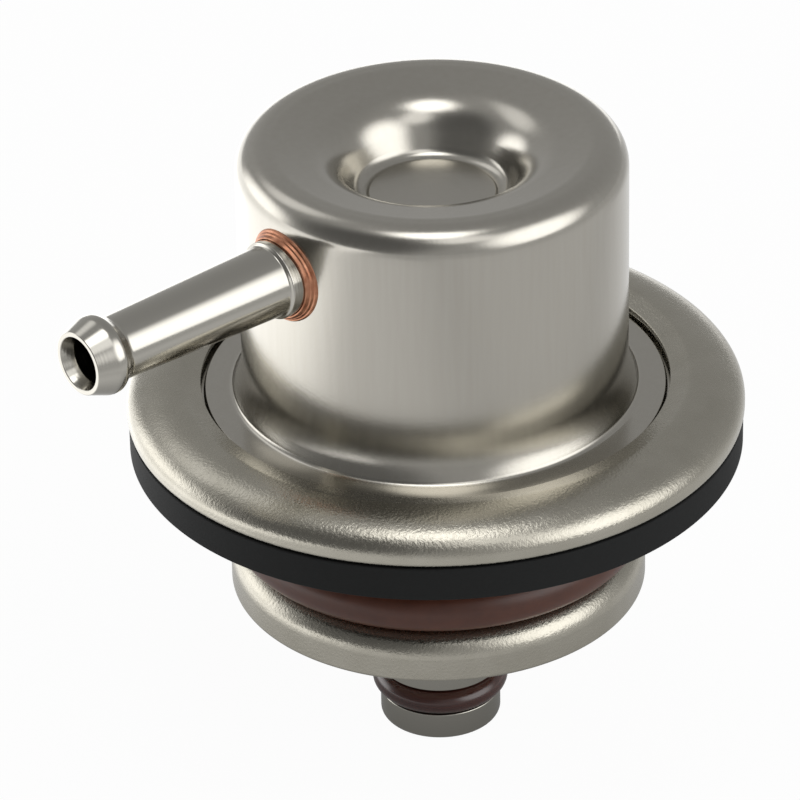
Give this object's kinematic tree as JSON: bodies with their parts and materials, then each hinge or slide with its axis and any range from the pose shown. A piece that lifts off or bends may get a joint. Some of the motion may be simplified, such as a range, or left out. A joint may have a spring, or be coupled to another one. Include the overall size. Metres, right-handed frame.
{
  "type": "fuel pressure regulator",
  "caption": "Round drop-in fuel pressure regulator: drawn spring can with a side hose nipple, rolled rim on a black ring, large seal, pressed disc and a sealed return spigot.",
  "frame": {"origin": "on the regulator's axis, in the plane of the black flange ring's underside, which seats on the mouth of the fuel rail's pocket", "axes": "+Z along the regulator's axis towards the dimple, -X along the vacuum nipple"},
  "size_m": [0.0513, 0.0422, 0.0453],
  "materials": {
    "drawn_steel": "satin nickel-plated drawn steel",
    "rim_steel": "frosted, tumbled and plated drawn steel",
    "bright_steel": "bright turned steel",
    "braze": "copper braze fillet",
    "black_plastic": "matt black glass-filled nylon",
    "seal_rubber": "red-brown fluoro rubber",
    "diaphragm_rubber": "fabric-reinforced rubber",
    "strainer_plastic": "natural moulded plastic",
    "mesh_plastic": "woven filter mesh",
    "spring_steel": "oil-tempered spring steel",
    "seat_steel": "hardened stainless steel"
  },
  "bodies": {
    "housing": {"flange_ring": "black_plastic", "lower_housing": "rim_steel", "spring_housing": "drawn_steel", "vacuum_nipple": "bright_steel", "braze_ring": "braze", "main_o_ring": "seal_rubber", "support_disc": "rim_steel", "strainer_frame": "strainer_plastic", "strainer_mesh": "mesh_plastic", "return_spigot": "bright_steel", "spigot_o_ring": "seal_rubber", "valve_seat": "seat_steel", "diaphragm": "diaphragm_rubber", "main_spring": "spring_steel", "upper_spring_seat": "drawn_steel"},
    "valve": {"spring_cup": "drawn_steel", "diaphragm_washer": "drawn_steel", "valve_holder": "bright_steel", "valve_plate": "seat_steel", "valve_ball": "seat_steel", "ball_retainer": "drawn_steel", "ball_spring": "spring_steel"}
  },
  "joints": [
    {"name": "valve_lift", "type": "slide", "parent": "housing", "child": "valve", "axis": [0, 0, 1], "range_m": [0, 0.0008], "stiffness_N_per_m": 10800, "deforming": ["main_spring", "diaphragm"]}
  ]
}
